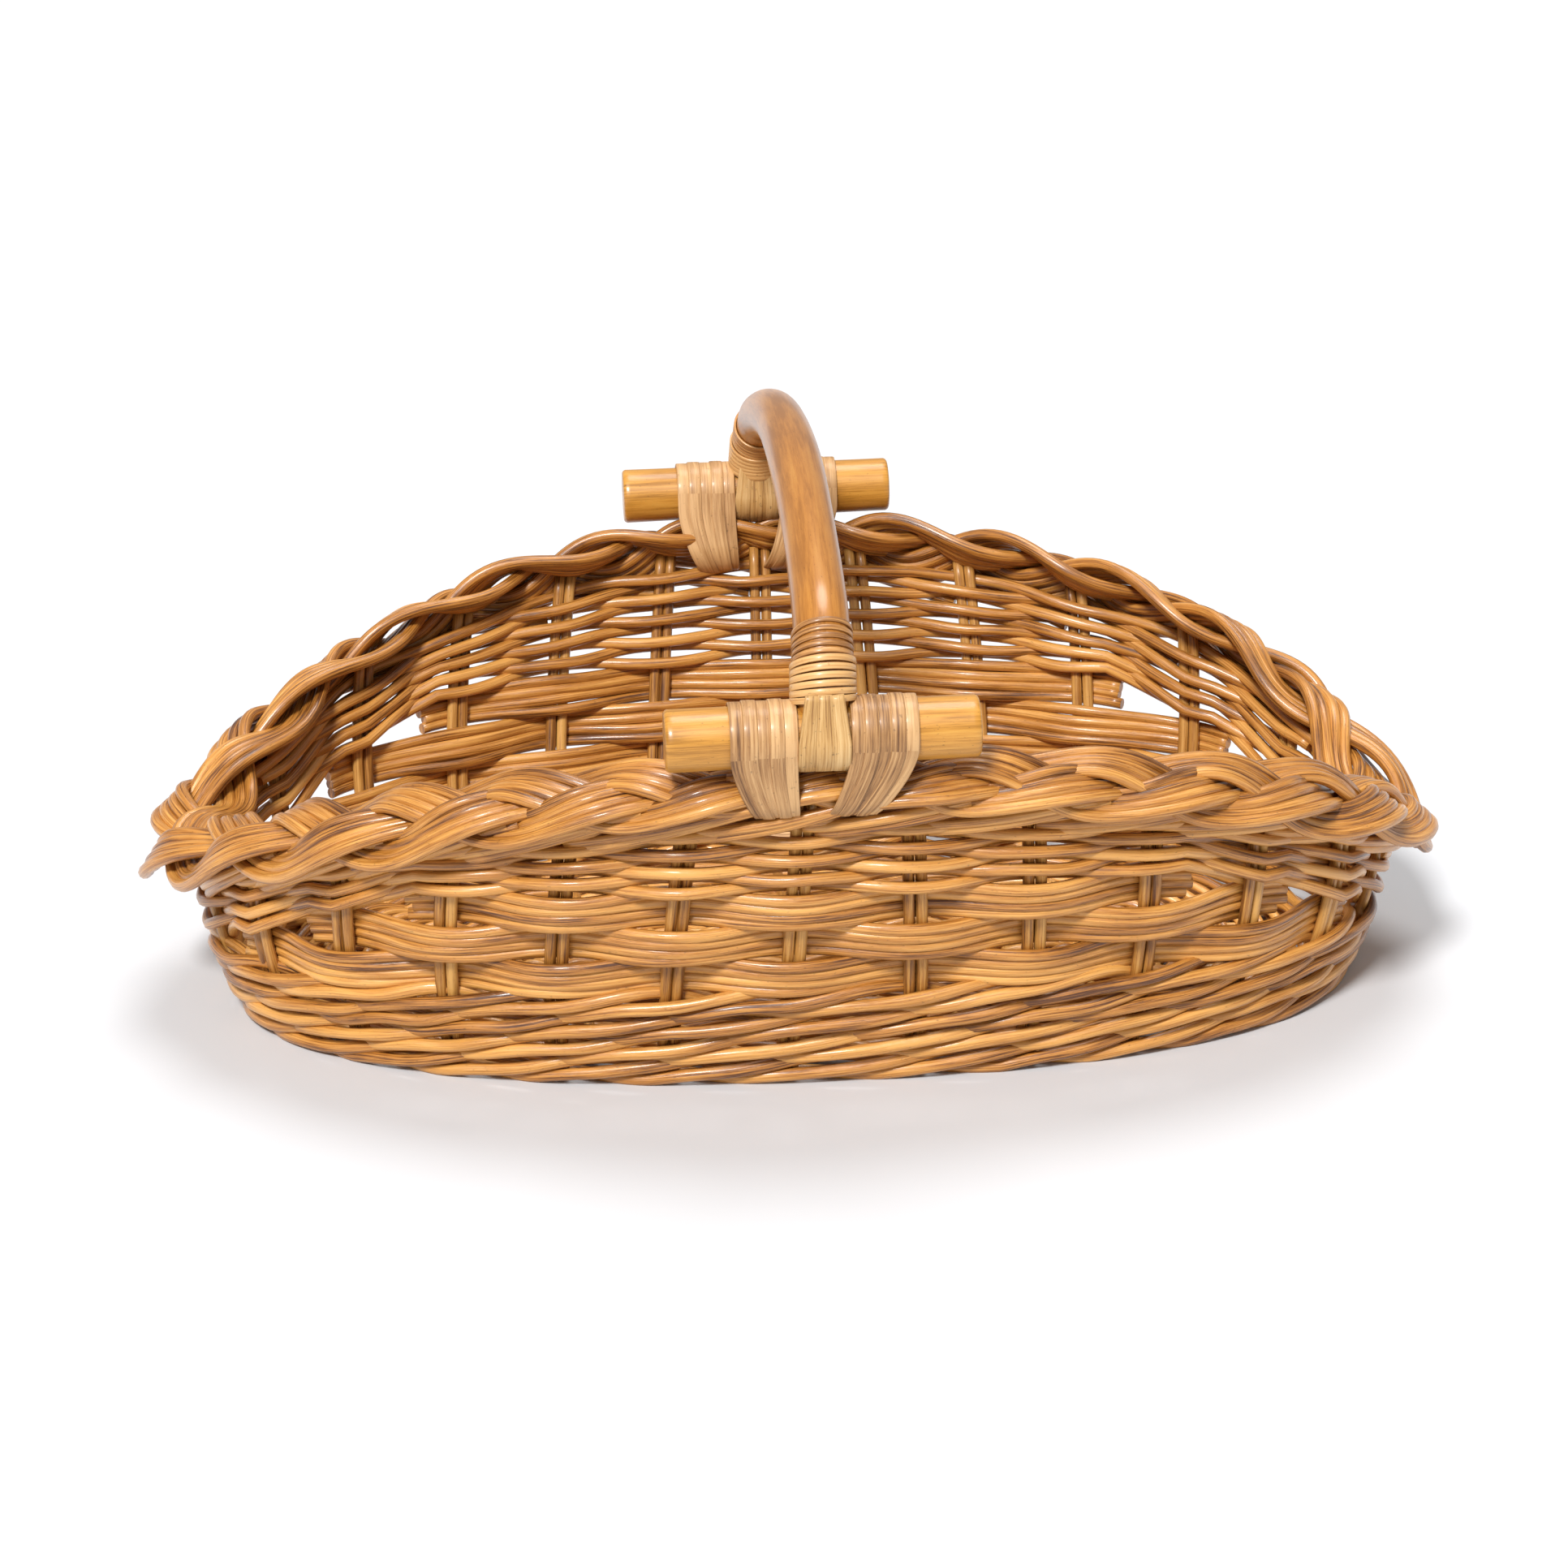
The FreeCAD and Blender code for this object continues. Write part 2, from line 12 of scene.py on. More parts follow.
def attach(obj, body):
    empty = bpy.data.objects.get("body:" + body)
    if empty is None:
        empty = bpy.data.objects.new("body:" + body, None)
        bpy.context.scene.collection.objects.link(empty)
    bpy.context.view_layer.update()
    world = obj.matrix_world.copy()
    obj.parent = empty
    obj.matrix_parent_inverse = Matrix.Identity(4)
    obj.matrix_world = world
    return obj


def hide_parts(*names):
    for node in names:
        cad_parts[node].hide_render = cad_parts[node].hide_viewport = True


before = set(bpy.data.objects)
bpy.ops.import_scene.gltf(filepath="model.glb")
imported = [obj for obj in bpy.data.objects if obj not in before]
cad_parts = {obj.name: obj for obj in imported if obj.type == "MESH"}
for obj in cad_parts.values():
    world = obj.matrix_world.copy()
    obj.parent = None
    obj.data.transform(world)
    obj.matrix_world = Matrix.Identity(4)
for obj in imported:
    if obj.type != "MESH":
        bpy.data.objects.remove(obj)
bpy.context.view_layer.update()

rng = np.random.default_rng(7)

# ---------------------------------------------------------------- dimensions shared with the CAD

BASE_HALF_LENGTH, BASE_HALF_WIDTH = 181.0, 88.0
TOP_HALF_LENGTH, TOP_HALF_WIDTH = 197.0, 127.5
OVAL_BASE, OVAL_RIM_LEFT, OVAL_RIM_RIGHT = 2.3, 1.85, 2.1
RIM_MID, RIM_LEFT, RIM_RIGHT = 114.5, 57.0, 49.0
RISE_LEFT, RISE_RIGHT = 1.45, 1.0
BORDER_OUT_SIDE, BORDER_OUT_END = 1.5, 5.5
BORDER_HALF_SIDE, BORDER_HALF_END, BORDER_TURN_SIDE, BORDER_TURN_END = 11.0, 15.5, 50.0, 72.0
BORDER_CLEAR_SIDE, BORDER_CLEAR_END = 7.2, 6.6
ROD, STAKE, STAKES = 3.4, 3.6, 26
STAKE_SPACING = 36.0
PHASE_FRONT, PHASE_REAR = 0.24, 0.58
WALE_COURSES, WALE_TOP_SIDE, WALE_TOP_END = 4, 36.0, 25.0
BAND_HEIGHT, BAND_RODS, BAND_REACH, MIDDLE_STAKE = 12.7, 4, (5, 4, 3), 6
RAND_COURSES, END_COURSES, TOP_COURSES = 9, 6, 2
RAND_TURN_BACK, RAND_TURN_STEP = 5.3, 0.4
BAR_SHIFT, BAR_OUT, BAR_HEIGHT, BAR_RADIUS, BAR_TILT = -2.5, 132.5, 132.0, 9.5, 1.2
HOOP_RADIUS, HOOP_RISE, HOOP_CORNER, HOOP_LEAN = 8.5, 52.0, 36.0, -2.2
HOOP_START = 6.0
LASHING_OFFSET, LASHING_STRIPS, STRIP_PITCH = 18.2, 5, 4.0
BASE_EDGE, LONG_STICK, LONG_PITCH, CROSS_STICK, CROSS_PITCH = 3.0, 3.0, 12.0, 4.6, 24.0


# ---------------------------------------------------------------- the oval wall

def lerp(a, b, share):
    return a + (b - a) * share


def end_blend(angle, left, right):
    return lerp(left, right, 0.5 * (1 + np.cos(angle)))


def oval(angle, half_length, half_width, share):
    power = 2.0 / lerp(OVAL_BASE, end_blend(angle, OVAL_RIM_LEFT, OVAL_RIM_RIGHT), share)
    cos, sin = np.cos(angle), np.sin(angle)
    return (half_length * np.sign(cos) * np.abs(cos) ** power,
            half_width * np.sign(sin) * np.abs(sin) ** power)


FINE = np.linspace(math.pi, 3 * math.pi, 7201)
MIDDLE_OVAL = oval(FINE, 0.5 * (BASE_HALF_LENGTH + TOP_HALF_LENGTH), 0.5 * (BASE_HALF_WIDTH + TOP_HALF_WIDTH), 0.5)
RUN = np.concatenate([[0], np.cumsum(np.hypot(np.diff(MIDDLE_OVAL[0]), np.diff(MIDDLE_OVAL[1])))])
STAKE_AT = RUN / RUN[-1] * STAKES


def angle_of(u):
    """Oval angle at a place counted in stake pairs from the -X end, the front side first."""
    u = np.asarray(u, float)
    phase = lerp(PHASE_REAR, PHASE_FRONT, 0.5 * (1 + np.sin(2 * math.pi * u / STAKES)))
    return np.interp(np.mod(u + phase, STAKES), STAKE_AT, FINE)


def side_share(angle):
    return np.abs(np.sin(angle)) ** end_blend(angle, RISE_LEFT, RISE_RIGHT)


def rim_height(angle):
    return lerp(end_blend(angle, RIM_LEFT, RIM_RIGHT), RIM_MID, side_share(angle))


def wall(u, z, out=0.0):
    """(points, outward normals) of the wall at stake places u and heights z, moved out by out."""
    angle = angle_of(u)
    z = np.broadcast_to(np.asarray(z, float), angle.shape)
    share = np.clip(z / rim_height(angle), 0.0, 1.0)
    half_length = lerp(BASE_HALF_LENGTH, TOP_HALF_LENGTH, 1 - (1 - share) ** 2.2)
    half_width = lerp(BASE_HALF_WIDTH, TOP_HALF_WIDTH, share ** 0.9)
    x, y = oval(angle, half_length, half_width, share)
    x1, y1 = oval(angle - 0.004, half_length, half_width, share)
    x2, y2 = oval(angle + 0.004, half_length, half_width, share)
    run = np.hypot(x2 - x1, y2 - y1)
    normal = np.stack([(y2 - y1) / run, -(x2 - x1) / run, np.zeros_like(run)], -1)
    return np.stack([x, y, z], -1) + normal * np.asarray(out, float)[..., None], normal


def wale_top(u):
    return lerp(WALE_TOP_END, WALE_TOP_SIDE, side_share(angle_of(u)))


def from_middle(u):
    half = STAKES / 2
    away = np.abs(np.mod(u, half) - MIDDLE_STAKE)
    return np.minimum(away, half - away)


def rand_floor(u):
    steps = sum(np.clip((limit + 1.0 - from_middle(u)) / 0.75, 0, 1) for limit in BAND_REACH)
    return wale_top(u) + BAND_HEIGHT * steps


def rand_fit(u):
    return lerp(RAND_COURSES, END_COURSES, np.clip((from_middle(u) - 5.0) / 1.5, 0, 1))


def border_centre(u):
    angle = angle_of(u)
    return wall(u, rim_height(angle), lerp(BORDER_OUT_END, BORDER_OUT_SIDE, side_share(angle)))


# ---------------------------------------------------------------- meshes of swept strands

def unit(v):
    return v / np.maximum(np.linalg.norm(v, axis=-1, keepdims=True), 1e-9)


class Strands:
    """Swept strands gathered into one mesh, with fibre coordinates and a tone for each strand."""

    def __init__(self):
        self.points, self.faces, self.uvs, self.tones, self.flat = [], [], [], [], []
        self.count = 0

    def add(self, path, width, height=None, up=(0, 0, 1), sides=10, closed=False, tone=None, corner=1.0):
        """Sweep an oval (corner 1) or boxy (corner < 1) section along a path; up is its height direction."""
        path = np.asarray(path, float)
        n = len(path)
        height = width if height is None else height
        width = np.broadcast_to(np.asarray(width, float), (n,))
        height = np.broadcast_to(np.asarray(height, float), (n,))
        if closed:
            tangent = unit(np.roll(path, -1, 0) - np.roll(path, 1, 0))
        else:
            tangent = unit(np.gradient(path, axis=0))
        side = unit(np.cross(tangent, np.broadcast_to(np.asarray(up, float), (n, 3))))
        top = np.cross(side, tangent)
        around = 2 * math.pi * (np.arange(sides) + 0.5) / sides
        cos, sin = np.cos(around), np.sin(around)
        cos, sin = np.sign(cos) * np.abs(cos) ** corner, np.sign(sin) * np.abs(sin) ** corner
        ring = (path[:, None] + side[:, None] * (0.5 * width[:, None] * cos)[..., None]
                + top[:, None] * (0.5 * height[:, None] * sin)[..., None])
        base = self.count
        self.points.append(ring.reshape(-1, 3))
        self.count += n * sides
        steps = np.linalg.norm(np.diff(path, axis=0, append=path[:1]), axis=1)
        along = np.concatenate([[0], np.cumsum(steps)])
        along = along + rng.uniform(0, 400)
        girth = math.pi * 0.5 * (float(width.mean()) + float(height.mean()))
        spans = n if closed else n - 1
        i = np.arange(spans)[:, None]
        j = np.arange(sides)[None]
        nxt, turn = (i + 1) % n, (j + 1) % sides
        quads = np.stack([base + i * sides + j, base + nxt * sides + j, base + nxt * sides + turn,
                          base + i * sides + turn], -1).reshape(-1, 4)
        self.faces += quads.tolist()
        u0, u1 = np.broadcast_to(along[i], (spans, sides)), np.broadcast_to(along[i + 1], (spans, sides))
        v0 = np.broadcast_to(j / sides * girth, (spans, sides))
        v1 = np.broadcast_to((j + 1) / sides * girth, (spans, sides))
        self.uvs += np.stack([np.stack([u0, v0], -1), np.stack([u1, v0], -1), np.stack([u1, v1], -1),
                              np.stack([u0, v1], -1)], 2).reshape(-1, 4, 2).tolist()
        self.flat += [False] * len(quads)
        tone = rng.uniform(0, 1) if tone is None else tone
        self.tones.append(np.full(n * sides, tone))
        if not closed:
            for end, order in ((0, -1), (n - 1, 1)):
                face = [base + end * sides + k for k in range(sides)][::-order]
                self.faces.append(face)
                self.uvs.append([[float(along[0] + 3 * c), float(3 * s)] for c, s in zip(cos, sin)][::-order])
                self.flat.append(True)

    def build(self, name, material, nodes, slot):
        mesh = bpy.data.meshes.new(name)
        points = np.concatenate(self.points) * 0.001
        mesh.from_pydata(points.tolist(), [], self.faces)
        layer = mesh.uv_layers.new(name="Fibre")
        layer.data.foreach_set("uv", np.concatenate([np.asarray(u, float).ravel() for u in self.uvs]))
        tone = mesh.attributes.new("tone", "FLOAT", "POINT")
        tone.data.foreach_set("value", np.concatenate(self.tones))
        mesh.polygons.foreach_set("use_smooth", [not f for f in self.flat])
        mesh.materials.append(material)
        mesh.update()
        thing = bpy.data.objects.new(name, mesh)
        bpy.context.scene.collection.objects.link(thing)
        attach(thing, "root")
        if nodes:
            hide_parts(*nodes)
        return thing


# ---------------------------------------------------------------- materials

def node(tree, kind, **inputs):
    made = tree.nodes.new(kind)
    for key, value in inputs.items():
        made.inputs[key.replace("_", " ")].default_value = value
    return made


def rattan(name, dark, mid, light, streak, rough, coat, speck=0.35, bump=0.25, warm=0.25):
    """Varnished cane: fibres along each strand, a tone of its own for each strand, and small dark specks."""
    material = bpy.data.materials.new(name)
    material.use_nodes = True
    tree = material.node_tree
    shader = tree.nodes["Principled BSDF"]
    link = tree.links.new
    uv = tree.nodes.new("ShaderNodeUVMap")
    uv.uv_map = "Fibre"
    tone = tree.nodes.new("ShaderNodeAttribute")
    tone.attribute_name = "tone"
    split = tree.nodes.new("ShaderNodeSeparateXYZ")
    link(uv.outputs["UV"], split.inputs[0])
    lift = node(tree, "ShaderNodeMath")
    lift.operation = "MULTIPLY"
    lift.inputs[1].default_value = 37.0
    link(tone.outputs["Fac"], lift.inputs[0])
    coords = []
    for along, across in ((0.035, streak), (0.12, 0.55), (0.5, 1.1)):
        u = node(tree, "ShaderNodeMath")
        u.operation = "MULTIPLY"
        u.inputs[1].default_value = along
        link(split.outputs["X"], u.inputs[0])
        v = node(tree, "ShaderNodeMath")
        v.operation = "MULTIPLY"
        v.inputs[1].default_value = across
        link(split.outputs["Y"], v.inputs[0])
        join = tree.nodes.new("ShaderNodeCombineXYZ")
        link(u.outputs[0], join.inputs[0])
        link(v.outputs[0], join.inputs[1])
        link(lift.outputs[0], join.inputs[2])
        coords.append(join)
    fibres = node(tree, "ShaderNodeTexNoise", Scale=1.0, Detail=4.0, Roughness=0.75)
    link(coords[0].outputs[0], fibres.inputs["Vector"])
    patches = node(tree, "ShaderNodeTexNoise", Scale=0.25, Detail=2.0, Roughness=0.5)
    link(coords[1].outputs[0], patches.inputs["Vector"])
    specks = node(tree, "ShaderNodeTexNoise", Scale=1.3, Detail=2.0, Roughness=0.5)
    link(coords[2].outputs[0], specks.inputs["Vector"])
    mix = node(tree, "ShaderNodeMath")
    mix.operation = "MULTIPLY_ADD"
    mix.inputs[1].default_value = 1.0
    link(fibres.outputs["Fac"], mix.inputs[0])
    shade = node(tree, "ShaderNodeMath")
    shade.operation = "MULTIPLY_ADD"
    shade.inputs[1].default_value = 0.45
    shade.inputs[2].default_value = -0.22
    link(patches.outputs["Fac"], shade.inputs[0])
    own = node(tree, "ShaderNodeMath")
    own.operation = "MULTIPLY_ADD"
    own.inputs[1].default_value = warm
    link(tone.outputs["Fac"], own.inputs[0])
    link(shade.outputs[0], own.inputs[2])
    link(own.outputs[0], mix.inputs[2])
    ramp = tree.nodes.new("ShaderNodeValToRGB")
    stops = ramp.color_ramp.elements
    stops[0].position, stops[0].color = 0.41, (*dark, 1)
    stops[1].position, stops[1].color = 0.8, (*light, 1)
    middle = stops.new(0.57)
    middle.color = (*mid, 1)
    link(mix.outputs[0], ramp.inputs["Fac"])
    spots = tree.nodes.new("ShaderNodeValToRGB")
    clear, spotted = spots.color_ramp.elements
    clear.position, clear.color = 0.66, (1, 1, 1, 1)
    spotted.position, spotted.color = 0.74, (1 - speck, 1 - speck, 1 - speck, 1)
    link(specks.outputs["Fac"], spots.inputs["Fac"])
    stain = tree.nodes.new("ShaderNodeMix")
    stain.data_type = "RGBA"
    stain.blend_type = "MULTIPLY"
    stain.inputs["Factor"].default_value = 1.0
    link(ramp.outputs["Color"], stain.inputs["A"])
    link(spots.outputs["Color"], stain.inputs["B"])
    link(stain.outputs["Result"], shader.inputs["Base Color"])
    relief = node(tree, "ShaderNodeBump", Strength=bump, Distance=0.0004)
    link(fibres.outputs["Fac"], relief.inputs["Height"])
    link(relief.outputs["Normal"], shader.inputs["Normal"])
    shader.inputs["Roughness"].default_value = rough
    shader.inputs["Coat Weight"].default_value = coat
    shader.inputs["Coat Roughness"].default_value = 0.18
    shader.inputs["Specular IOR Level"].default_value = 0.5
    return material


WEAVER = rattan("weaver_rattan", dark=(0.085, 0.023, 0.003), mid=(0.46, 0.178, 0.027), light=(0.78, 0.39, 0.095),
                streak=1.7, rough=0.36, coat=0.4, bump=0.6)
STAKE_CANE = rattan("stake_rattan", dark=(0.09, 0.026, 0.004), mid=(0.38, 0.155, 0.025), light=(0.66, 0.35, 0.09),
                    streak=1.3, rough=0.45, coat=0.25)
POLE = rattan("pole_rattan", dark=(0.34, 0.125, 0.016), mid=(0.46, 0.18, 0.028), light=(0.54, 0.24, 0.045),
              streak=0.5, rough=0.34, coat=0.35, speck=0.4, bump=0.06, warm=0.04)
BAR = rattan("bar_rattan", dark=(0.38, 0.16, 0.016), mid=(0.58, 0.26, 0.036), light=(0.68, 0.35, 0.065),
             streak=1.0, rough=0.4, coat=0.3, speck=0.4, bump=0.1, warm=0.08)
PEEL = rattan("peel_rattan", dark=(0.15, 0.062, 0.018), mid=(0.40, 0.2, 0.07), light=(0.66, 0.39, 0.17),
              streak=2.4, rough=0.5, coat=0.15)
WRAP = rattan("wrap_rattan", dark=(0.22, 0.085, 0.02), mid=(0.50, 0.23, 0.065), light=(0.72, 0.42, 0.16),
              streak=2.4, rough=0.42, coat=0.25)
TONGUE = rattan("tongue_rattan", dark=(0.22, 0.09, 0.02), mid=(0.53, 0.29, 0.09), light=(0.74, 0.48, 0.21),
                streak=2.6, rough=0.5, coat=0.15, speck=0.5, bump=0.5)


# ---------------------------------------------------------------- the weave

def jitter(n, amount, smooth=9):
    """A slow random wander, which closes on itself."""
    raw = rng.normal(0, 1, n)
    spectrum = np.fft.rfft(raw)
    spectrum[max(3, n // smooth):] = 0
    slow = np.fft.irfft(spectrum, n)
    return amount * slow / max(slow.std(), 1e-9)


def make_wale():
    """Three rods to a course, each over two stake pairs and under one, rising as it crosses outside."""
    per = 12
    u = np.arange(STAKES * per) / per
    reach = 0.5 * (ROD + STAKE)
    for course in range(WALE_COURSES):
        strands = Strands()
        pitch = wale_top(u) / WALE_COURSES
        for rod in range(3):
            # the pattern takes three stakes and 26 don't divide by three, so nine turns are fitted in
            turn = 2 * math.pi * (u * 27 / (3 * STAKES) + (rod + course * 0.5) / 3)
            out = reach * (0.333 - 1.075 * np.cos(turn) - 0.258 * np.cos(2 * turn))
            rise = -np.sin(turn) - 0.3 * np.sin(2 * turn)
            z = pitch * (course + 0.5) + 0.43 * pitch * rise + jitter(len(u), 0.3)
            z = np.maximum(z, 1.75)
            path, normal = wall(u, z, out + jitter(len(u), 0.12))
            strands.add(path, 4.3 + jitter(len(u), 0.16), 3.9, normal, closed=True)
        strands.build(f"Wale_Course_{course + 1}", WEAVER, [f"wale_course_{course + 1}"], "weaver_rod")


def make_bands():
    """Groups of four rods side by side over one stake pair and under the next, with cut ends inside the wall."""
    per = 12
    swing = 0.5 * (ROD + STAKE) + 0.1
    for side, middle in (("front", MIDDLE_STAKE), ("rear", MIDDLE_STAKE + STAKES // 2)):
        for band, reach in enumerate(BAND_REACH):
            strands = Strands()
            for rod in range(BAND_RODS):
                ends = reach + 0.36 + rng.uniform(-0.05, 0.05, 2)
                u = np.linspace(middle - ends[0], middle + ends[1], int(2 * reach * per))
                wave = np.cos(math.pi * (u + band))
                squeeze = 1 - 0.07 * wave
                level = (rod - 1.5) * (BAND_HEIGHT / BAND_RODS) * squeeze
                bow = -0.5 * wave
                z = wale_top(u) + (band + 0.5) * BAND_HEIGHT + level + bow + jitter(len(u), 0.15)
                path, normal = wall(u, z, swing * wave + jitter(len(u), 0.15))
                strands.add(path, 3.95, 3.4, normal)
            strands.build(f"Block_Band_{side.title()}_{band + 1}", WEAVER, [f"block_band_{side}_{band + 1}"],
                          "weaver_rod")


def rand_line(course, u):
    """One single rod: the lowest courses are counted up from the floor, the top ones down from the border."""
    angle = angle_of(u)
    floor = rand_floor(u)
    ceiling = rim_height(angle) - lerp(BORDER_CLEAR_END, BORDER_CLEAR_SIDE, side_share(angle))
    pitch = (ceiling - floor) / rand_fit(u)
    if course >= RAND_COURSES - TOP_COURSES:
        z = ceiling - (RAND_COURSES - course - 0.5) * pitch
    else:
        z = floor + (course + 0.5) * pitch
    swing = 0.5 * (ROD + STAKE) + 0.1
    return wall(u, z + jitter(len(u), 0.28),
                swing * np.cos(math.pi * (u + course + len(BAND_REACH))) + jitter(len(u), 0.15))


def make_rand():
    """Single rods in and out of the stakes; the middle courses stop short of the ends, each a little shorter than
    the one below.
    """
    per = 12
    for course in range(RAND_COURSES):
        strands = Strands()
        partial = END_COURSES - TOP_COURSES <= course < RAND_COURSES - TOP_COURSES
        if not partial:
            path, normal = rand_line(course, np.arange(STAKES * per) / per)
            strands.add(path, 4.0, 3.9, normal, closed=True)
        else:
            for middle in (MIDDLE_STAKE, MIDDLE_STAKE + STAKES // 2):
                reach = RAND_TURN_BACK + RAND_TURN_STEP * (RAND_COURSES - TOP_COURSES - 1 - course)
                u = np.linspace(middle - reach, middle + reach, int(2 * reach * per))
                path, normal = rand_line(course, u)
                strands.add(path, 4.0, 3.9, normal)
        strands.build(f"Rand_Course_{course + 1}", WEAVER, [f"rand_course_{course + 1}"], "weaver_rod")


def make_stakes():
    """Upright rods in pairs, from beside the base up into the border."""
    groups = {f"stakes_{side}": Strands() for side in ("front", "rear", "left", "right")}
    for pair in range(STAKES):
        angle = float(angle_of(pair))
        end = "stakes_left" if math.cos(angle) < 0 else "stakes_right"
        side = "stakes_front" if math.sin(angle) < 0 else "stakes_rear"
        name = side if from_middle(pair) <= max(BAND_REACH) else end
        top = float(rim_height(angle)) - 2.0
        z = np.linspace(2.0, top, 18)
        path, normal = wall(np.full(18, pair, float), z, np.full(18, 0.0))
        tangent = np.cross(normal, (0, 0, 1.0))
        for shift in (-1, 1):
            line = path + tangent * (shift * 1.95 + rng.uniform(-0.15, 0.15))
            groups[name].add(line, 3.8, 3.7, normal)
    for name, strands in groups.items():
        strands.build(name.title(), STAKE_CANE, [name], "stake_rod")


def make_border():
    """A band of four rods laid over the rim, swinging across it and back every three stakes."""
    strands = Strands()
    per = 18
    n = 3 * STAKES * per
    u = np.arange(n) / per
    phase = 2 * math.pi * u / 3
    across, over = np.sin(phase), -np.sin(2 * phase)
    side = side_share(angle_of(u))
    rear = 0.5 * (1 + np.sin(angle_of(u)))
    bulk = lerp(1.3, 1.0 + 0.3 * rear, side)
    half = lerp(BORDER_HALF_END + 1.5, BORDER_HALF_SIDE + 2.5 * rear, side)
    turn = np.radians(lerp(BORDER_TURN_END, BORDER_TURN_SIDE - 14 * rear, side))
    wander = jitter(n, 0.55, 30)
    for rod in range(4):
        place = (rod - 1.5) * 3.5 * bulk ** 0.5
        # the rods of a band lie side by side: shifted along the rim where the band runs across it,
        # and sideways where it turns
        spread = 1 - 0.28 * np.abs(across) ** 3
        slope = half * np.cos(phase) * 2 * math.pi / (3 * STAKE_SPACING)
        norm = np.sqrt(1 + slope ** 2)
        shift_u = u - place * spread * slope / norm / STAKE_SPACING
        shift_s = place * spread / norm
        centre, out = border_centre(shift_u)
        ahead, _ = border_centre(shift_u + 0.03)
        tangent = unit(ahead - centre)
        rise = np.cross(out, tangent)
        rise *= np.sign(rise[:, 2:3])
        lateral = out * np.sin(turn)[:, None] - rise * np.cos(turn)[:, None]
        face = out * np.cos(turn)[:, None] + rise * np.sin(turn)[:, None]
        tied = 1 - 0.26 * np.exp(-((centre[:, 0] - BAR_SHIFT) / 30.0) ** 4)
        s = ((half - 6.0) * across * 1.12 + shift_s + wander) * tied
        crown = -0.035 * s ** 2 + 1.2
        lift = 3.3 * bulk * over + crown * 0.6 + 0.3 * np.cos(2.1 * rod) + jitter(n, 0.25, 30)
        path = centre + lateral * s[:, None] + face * (lift * tied)[:, None]
        strands.add(path, 4.1 * bulk ** 0.4, 3.9 * bulk ** 0.4, face, closed=True, tone=0.11 + 0.12 * rod)
    # the stake pairs bend over to one side before they pass into the plait
    for pair in range(STAKES):
        for member in range(2):
            share = np.linspace(0, 1, 16)
            u = pair + 0.12 * member + share * (1.5 + rng.uniform(-0.1, 0.15))
            height = rim_height(angle_of(u)) - lerp(15.5, 5.0, share ** 1.3) - 2.4 * member * (1 - share)
            path, out = wall(u, height, 1.5 + 5.5 * np.sin(0.5 * math.pi * np.minimum(share * 1.6, 1)))
            strands.add(path, 3.7, 3.6, out)
    strands.build("Border_Plait", WEAVER, ["border_plait"], "weaver_rod")


def make_base():
    """Rings of rod over and under the level of the base sticks, at even angles, from the middle out."""
    sticks, lower, upper = Strands(), Strands(), Strands()
    middle = 5.65
    per = 8
    rings = 24
    for ring in range(rings):
        share = (ring + 0.6) / rings
        half_length = 98 + (BASE_HALF_LENGTH - BASE_EDGE - 98) * share
        half_width = (BASE_HALF_WIDTH - BASE_EDGE) * share
        angle = np.linspace(0, 2 * math.pi, 30 * per, endpoint=False)
        x, y = oval(angle, half_length, half_width, 0.0)
        spokes = 30
        z = middle + 2.6 * np.cos(spokes / 2 * angle + math.pi * ring) + jitter(len(angle), 0.12)
        path = np.stack([x, y, z], -1)
        (upper if ring % 2 else lower).add(path, 3.4, 3.0, (0, 0, 1), closed=True)
    for offset in np.arange(-5, 6) * CROSS_PITCH:
        reach = (BASE_HALF_WIDTH - 10) * (1 - abs(offset / (BASE_HALF_LENGTH - 6)) ** 2.3) ** (1 / 2.3)
        line = np.stack([np.full(9, offset), np.linspace(-reach, reach, 9), np.full(9, middle)], -1)
        sticks.add(line, CROSS_STICK, CROSS_STICK)
    long_sticks = Strands()
    for offset in np.arange(-2, 3) * LONG_PITCH:
        line = np.stack([np.linspace(-168, 168, 30), np.full(30, offset), np.full(30, middle)], -1)
        long_sticks.add(line, LONG_STICK, LONG_STICK)
    lower.build("Base_Weave_Lower", WEAVER, ["base_weave_lower"], "weaver_rod")
    upper.build("Base_Weave_Upper", WEAVER, ["base_weave_upper"], "weaver_rod")
    sticks.build("Base_Cross_Sticks", STAKE_CANE, ["base_cross_sticks"], "stake_rod")
    long_sticks.build("Base_Long_Sticks", STAKE_CANE, ["base_long_sticks"], "stake_rod")


# ---------------------------------------------------------------- crossbars, handle and bindings

